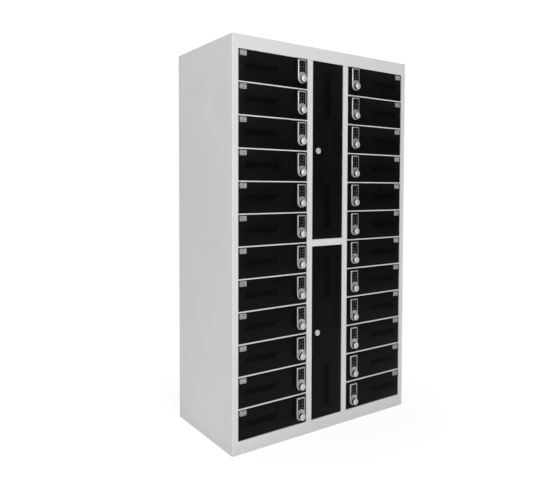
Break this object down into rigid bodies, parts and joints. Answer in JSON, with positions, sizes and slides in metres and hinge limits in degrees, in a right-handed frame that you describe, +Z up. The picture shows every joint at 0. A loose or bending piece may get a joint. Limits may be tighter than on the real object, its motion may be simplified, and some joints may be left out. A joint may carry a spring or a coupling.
{
  "type": "phone charging kiosk",
  "caption": "Free-standing steel cabinet with two banks of small keypad-lock compartments for charging phones, either side of a narrow service bay with two tall doors.",
  "frame": {"origin": "middle of the cabinet's base, on the floor", "axes": "front faces -Y, +X to the right as seen from the front, +Z up"},
  "size_m": [1, 0.5273, 1.72],
  "materials": {
    "frame_powder_coat": "pale grey powder coat, fine satin",
    "liner_powder_coat": "pale grey powder coat, fine satin",
    "door_powder_coat": "black powder coat, fine texture",
    "nickel_plate": "satin nickel plate",
    "unit_paint": "dark grey satin paint"
  },
  "bodies": {
    "cabinet": {"cabinet_shell": "frame_powder_coat", "partition_left": "frame_powder_coat", "partition_right": "frame_powder_coat", "rack_left": "liner_powder_coat", "rack_right": "liner_powder_coat", "centre_rail": "frame_powder_coat", "rear_panel": "frame_powder_coat", "power_unit": "unit_paint"},
    "door_left_01": {"door_left_01": "door_powder_coat"},
    "knob_left_01": {"knob_left_01": "nickel_plate"},
    "door_left_02": {"door_left_02": "door_powder_coat"},
    "knob_left_02": {"knob_left_02": "nickel_plate"},
    "door_left_03": {"door_left_03": "door_powder_coat"},
    "knob_left_03": {"knob_left_03": "nickel_plate"},
    "door_left_04": {"door_left_04": "door_powder_coat"},
    "knob_left_04": {"knob_left_04": "nickel_plate"},
    "door_left_05": {"door_left_05": "door_powder_coat"},
    "knob_left_05": {"knob_left_05": "nickel_plate"},
    "door_left_06": {"door_left_06": "door_powder_coat"},
    "knob_left_06": {"knob_left_06": "nickel_plate"},
    "door_left_07": {"door_left_07": "door_powder_coat"},
    "knob_left_07": {"knob_left_07": "nickel_plate"},
    "door_left_08": {"door_left_08": "door_powder_coat"},
    "knob_left_08": {"knob_left_08": "nickel_plate"},
    "door_left_09": {"door_left_09": "door_powder_coat"},
    "knob_left_09": {"knob_left_09": "nickel_plate"},
    "door_left_10": {"door_left_10": "door_powder_coat"},
    "knob_left_10": {"knob_left_10": "nickel_plate"},
    "door_left_11": {"door_left_11": "door_powder_coat"},
    "knob_left_11": {"knob_left_11": "nickel_plate"},
    "door_left_12": {"door_left_12": "door_powder_coat"},
    "knob_left_12": {"knob_left_12": "nickel_plate"},
    "door_right_01": {"door_right_01": "door_powder_coat"},
    "knob_right_01": {"knob_right_01": "nickel_plate"},
    "door_right_02": {"door_right_02": "door_powder_coat"},
    "knob_right_02": {"knob_right_02": "nickel_plate"},
    "door_right_03": {"door_right_03": "door_powder_coat"},
    "knob_right_03": {"knob_right_03": "nickel_plate"},
    "door_right_04": {"door_right_04": "door_powder_coat"},
    "knob_right_04": {"knob_right_04": "nickel_plate"},
    "door_right_05": {"door_right_05": "door_powder_coat"},
    "knob_right_05": {"knob_right_05": "nickel_plate"},
    "door_right_06": {"door_right_06": "door_powder_coat"},
    "knob_right_06": {"knob_right_06": "nickel_plate"},
    "door_right_07": {"door_right_07": "door_powder_coat"},
    "knob_right_07": {"knob_right_07": "nickel_plate"},
    "door_right_08": {"door_right_08": "door_powder_coat"},
    "knob_right_08": {"knob_right_08": "nickel_plate"},
    "door_right_09": {"door_right_09": "door_powder_coat"},
    "knob_right_09": {"knob_right_09": "nickel_plate"},
    "door_right_10": {"door_right_10": "door_powder_coat"},
    "knob_right_10": {"knob_right_10": "nickel_plate"},
    "door_right_11": {"door_right_11": "door_powder_coat"},
    "knob_right_11": {"knob_right_11": "nickel_plate"},
    "door_right_12": {"door_right_12": "door_powder_coat"},
    "knob_right_12": {"knob_right_12": "nickel_plate"},
    "service_door_upper": {"service_door_upper": "door_powder_coat"},
    "service_plug_upper": {"service_plug_upper": "nickel_plate"},
    "service_door_lower": {"service_door_lower": "door_powder_coat"},
    "service_plug_lower": {"service_plug_lower": "nickel_plate"}
  },
  "joints": [
    {"name": "door_left_01_hinge", "type": "hinge", "parent": "cabinet", "child": "door_left_01", "pos_m": [-0.4625, -0.244, 1.59806], "axis": [0, 0, -1], "range_deg": [0, 110]},
    {"name": "knob_left_01_turn", "type": "hinge", "parent": "door_left_01", "child": "knob_left_01", "pos_m": [-0.157, -0.263, 1.572], "axis": [0, 1, 0], "range_deg": [0, 90]},
    {"name": "door_left_02_hinge", "type": "hinge", "parent": "cabinet", "child": "door_left_02", "pos_m": [-0.4625, -0.244, 1.46369], "axis": [0, 0, -1], "range_deg": [0, 110]},
    {"name": "knob_left_02_turn", "type": "hinge", "parent": "door_left_02", "child": "knob_left_02", "pos_m": [-0.157, -0.263, 1.43762], "axis": [0, 1, 0], "range_deg": [0, 90]},
    {"name": "door_left_03_hinge", "type": "hinge", "parent": "cabinet", "child": "door_left_03", "pos_m": [-0.4625, -0.244, 1.32931], "axis": [0, 0, -1], "range_deg": [0, 110]},
    {"name": "knob_left_03_turn", "type": "hinge", "parent": "door_left_03", "child": "knob_left_03", "pos_m": [-0.157, -0.263, 1.30325], "axis": [0, 1, 0], "range_deg": [0, 90]},
    {"name": "door_left_04_hinge", "type": "hinge", "parent": "cabinet", "child": "door_left_04", "pos_m": [-0.4625, -0.244, 1.19494], "axis": [0, 0, -1], "range_deg": [0, 110]},
    {"name": "knob_left_04_turn", "type": "hinge", "parent": "door_left_04", "child": "knob_left_04", "pos_m": [-0.157, -0.263, 1.16888], "axis": [0, 1, 0], "range_deg": [0, 90]},
    {"name": "door_left_05_hinge", "type": "hinge", "parent": "cabinet", "child": "door_left_05", "pos_m": [-0.4625, -0.244, 1.06056], "axis": [0, 0, -1], "range_deg": [0, 110]},
    {"name": "knob_left_05_turn", "type": "hinge", "parent": "door_left_05", "child": "knob_left_05", "pos_m": [-0.157, -0.263, 1.0345], "axis": [0, 1, 0], "range_deg": [0, 90]},
    {"name": "door_left_06_hinge", "type": "hinge", "parent": "cabinet", "child": "door_left_06", "pos_m": [-0.4625, -0.244, 0.92619], "axis": [0, 0, -1], "range_deg": [0, 110]},
    {"name": "knob_left_06_turn", "type": "hinge", "parent": "door_left_06", "child": "knob_left_06", "pos_m": [-0.157, -0.263, 0.90012], "axis": [0, 1, 0], "range_deg": [0, 90]},
    {"name": "door_left_07_hinge", "type": "hinge", "parent": "cabinet", "child": "door_left_07", "pos_m": [-0.4625, -0.244, 0.79181], "axis": [0, 0, -1], "range_deg": [0, 110]},
    {"name": "knob_left_07_turn", "type": "hinge", "parent": "door_left_07", "child": "knob_left_07", "pos_m": [-0.157, -0.263, 0.76575], "axis": [0, 1, 0], "range_deg": [0, 90]},
    {"name": "door_left_08_hinge", "type": "hinge", "parent": "cabinet", "child": "door_left_08", "pos_m": [-0.4625, -0.244, 0.65744], "axis": [0, 0, -1], "range_deg": [0, 110]},
    {"name": "knob_left_08_turn", "type": "hinge", "parent": "door_left_08", "child": "knob_left_08", "pos_m": [-0.157, -0.263, 0.63138], "axis": [0, 1, 0], "range_deg": [0, 90]},
    {"name": "door_left_09_hinge", "type": "hinge", "parent": "cabinet", "child": "door_left_09", "pos_m": [-0.4625, -0.244, 0.52306], "axis": [0, 0, -1], "range_deg": [0, 110]},
    {"name": "knob_left_09_turn", "type": "hinge", "parent": "door_left_09", "child": "knob_left_09", "pos_m": [-0.157, -0.263, 0.497], "axis": [0, 1, 0], "range_deg": [0, 90]},
    {"name": "door_left_10_hinge", "type": "hinge", "parent": "cabinet", "child": "door_left_10", "pos_m": [-0.4625, -0.244, 0.38869], "axis": [0, 0, -1], "range_deg": [0, 110]},
    {"name": "knob_left_10_turn", "type": "hinge", "parent": "door_left_10", "child": "knob_left_10", "pos_m": [-0.157, -0.263, 0.36262], "axis": [0, 1, 0], "range_deg": [0, 90]},
    {"name": "door_left_11_hinge", "type": "hinge", "parent": "cabinet", "child": "door_left_11", "pos_m": [-0.4625, -0.244, 0.25431], "axis": [0, 0, -1], "range_deg": [0, 110]},
    {"name": "knob_left_11_turn", "type": "hinge", "parent": "door_left_11", "child": "knob_left_11", "pos_m": [-0.157, -0.263, 0.22825], "axis": [0, 1, 0], "range_deg": [0, 90]},
    {"name": "door_left_12_hinge", "type": "hinge", "parent": "cabinet", "child": "door_left_12", "pos_m": [-0.4625, -0.244, 0.11994], "axis": [0, 0, -1], "range_deg": [0, 110]},
    {"name": "knob_left_12_turn", "type": "hinge", "parent": "door_left_12", "child": "knob_left_12", "pos_m": [-0.157, -0.263, 0.09388], "axis": [0, 1, 0], "range_deg": [0, 90]},
    {"name": "door_right_01_hinge", "type": "hinge", "parent": "cabinet", "child": "door_right_01", "pos_m": [0.4625, -0.244, 1.59806], "axis": [0, 0, 1], "range_deg": [0, 110]},
    {"name": "knob_right_01_turn", "type": "hinge", "parent": "door_right_01", "child": "knob_right_01", "pos_m": [0.157, -0.263, 1.572], "axis": [0, -1, 0], "range_deg": [0, 90]},
    {"name": "door_right_02_hinge", "type": "hinge", "parent": "cabinet", "child": "door_right_02", "pos_m": [0.4625, -0.244, 1.46369], "axis": [0, 0, 1], "range_deg": [0, 110]},
    {"name": "knob_right_02_turn", "type": "hinge", "parent": "door_right_02", "child": "knob_right_02", "pos_m": [0.157, -0.263, 1.43762], "axis": [0, -1, 0], "range_deg": [0, 90]},
    {"name": "door_right_03_hinge", "type": "hinge", "parent": "cabinet", "child": "door_right_03", "pos_m": [0.4625, -0.244, 1.32931], "axis": [0, 0, 1], "range_deg": [0, 110]},
    {"name": "knob_right_03_turn", "type": "hinge", "parent": "door_right_03", "child": "knob_right_03", "pos_m": [0.157, -0.263, 1.30325], "axis": [0, -1, 0], "range_deg": [0, 90]},
    {"name": "door_right_04_hinge", "type": "hinge", "parent": "cabinet", "child": "door_right_04", "pos_m": [0.4625, -0.244, 1.19494], "axis": [0, 0, 1], "range_deg": [0, 110]},
    {"name": "knob_right_04_turn", "type": "hinge", "parent": "door_right_04", "child": "knob_right_04", "pos_m": [0.157, -0.263, 1.16888], "axis": [0, -1, 0], "range_deg": [0, 90]},
    {"name": "door_right_05_hinge", "type": "hinge", "parent": "cabinet", "child": "door_right_05", "pos_m": [0.4625, -0.244, 1.06056], "axis": [0, 0, 1], "range_deg": [0, 110]},
    {"name": "knob_right_05_turn", "type": "hinge", "parent": "door_right_05", "child": "knob_right_05", "pos_m": [0.157, -0.263, 1.0345], "axis": [0, -1, 0], "range_deg": [0, 90]},
    {"name": "door_right_06_hinge", "type": "hinge", "parent": "cabinet", "child": "door_right_06", "pos_m": [0.4625, -0.244, 0.92619], "axis": [0, 0, 1], "range_deg": [0, 110]},
    {"name": "knob_right_06_turn", "type": "hinge", "parent": "door_right_06", "child": "knob_right_06", "pos_m": [0.157, -0.263, 0.90012], "axis": [0, -1, 0], "range_deg": [0, 90]},
    {"name": "door_right_07_hinge", "type": "hinge", "parent": "cabinet", "child": "door_right_07", "pos_m": [0.4625, -0.244, 0.79181], "axis": [0, 0, 1], "range_deg": [0, 110]},
    {"name": "knob_right_07_turn", "type": "hinge", "parent": "door_right_07", "child": "knob_right_07", "pos_m": [0.157, -0.263, 0.76575], "axis": [0, -1, 0], "range_deg": [0, 90]},
    {"name": "door_right_08_hinge", "type": "hinge", "parent": "cabinet", "child": "door_right_08", "pos_m": [0.4625, -0.244, 0.65744], "axis": [0, 0, 1], "range_deg": [0, 110]},
    {"name": "knob_right_08_turn", "type": "hinge", "parent": "door_right_08", "child": "knob_right_08", "pos_m": [0.157, -0.263, 0.63138], "axis": [0, -1, 0], "range_deg": [0, 90]},
    {"name": "door_right_09_hinge", "type": "hinge", "parent": "cabinet", "child": "door_right_09", "pos_m": [0.4625, -0.244, 0.52306], "axis": [0, 0, 1], "range_deg": [0, 110]},
    {"name": "knob_right_09_turn", "type": "hinge", "parent": "door_right_09", "child": "knob_right_09", "pos_m": [0.157, -0.263, 0.497], "axis": [0, -1, 0], "range_deg": [0, 90]},
    {"name": "door_right_10_hinge", "type": "hinge", "parent": "cabinet", "child": "door_right_10", "pos_m": [0.4625, -0.244, 0.38869], "axis": [0, 0, 1], "range_deg": [0, 110]},
    {"name": "knob_right_10_turn", "type": "hinge", "parent": "door_right_10", "child": "knob_right_10", "pos_m": [0.157, -0.263, 0.36262], "axis": [0, -1, 0], "range_deg": [0, 90]},
    {"name": "door_right_11_hinge", "type": "hinge", "parent": "cabinet", "child": "door_right_11", "pos_m": [0.4625, -0.244, 0.25431], "axis": [0, 0, 1], "range_deg": [0, 110]},
    {"name": "knob_right_11_turn", "type": "hinge", "parent": "door_right_11", "child": "knob_right_11", "pos_m": [0.157, -0.263, 0.22825], "axis": [0, -1, 0], "range_deg": [0, 90]},
    {"name": "door_right_12_hinge", "type": "hinge", "parent": "cabinet", "child": "door_right_12", "pos_m": [0.4625, -0.244, 0.11994], "axis": [0, 0, 1], "range_deg": [0, 110]},
    {"name": "knob_right_12_turn", "type": "hinge", "parent": "door_right_12", "child": "knob_right_12", "pos_m": [0.157, -0.263, 0.09388], "axis": [0, -1, 0], "range_deg": [0, 90]},
    {"name": "service_door_upper_hinge", "type": "hinge", "parent": "cabinet", "child": "service_door_upper", "pos_m": [0.0795, -0.244, 1.267], "axis": [0, 0, 1], "range_deg": [0, 110]},
    {"name": "service_plug_upper_turn", "type": "hinge", "parent": "service_door_upper", "child": "service_plug_upper", "pos_m": [-0.0555, -0.251, 1.267], "axis": [0, -1, 0], "range_deg": [0, 90]},
    {"name": "service_door_lower_hinge", "type": "hinge", "parent": "cabinet", "child": "service_door_lower", "pos_m": [0.0795, -0.244, 0.448], "axis": [0, 0, 1], "range_deg": [0, 110]},
    {"name": "service_plug_lower_turn", "type": "hinge", "parent": "service_door_lower", "child": "service_plug_lower", "pos_m": [-0.0555, -0.251, 0.448], "axis": [0, -1, 0], "range_deg": [0, 90]}
  ]
}
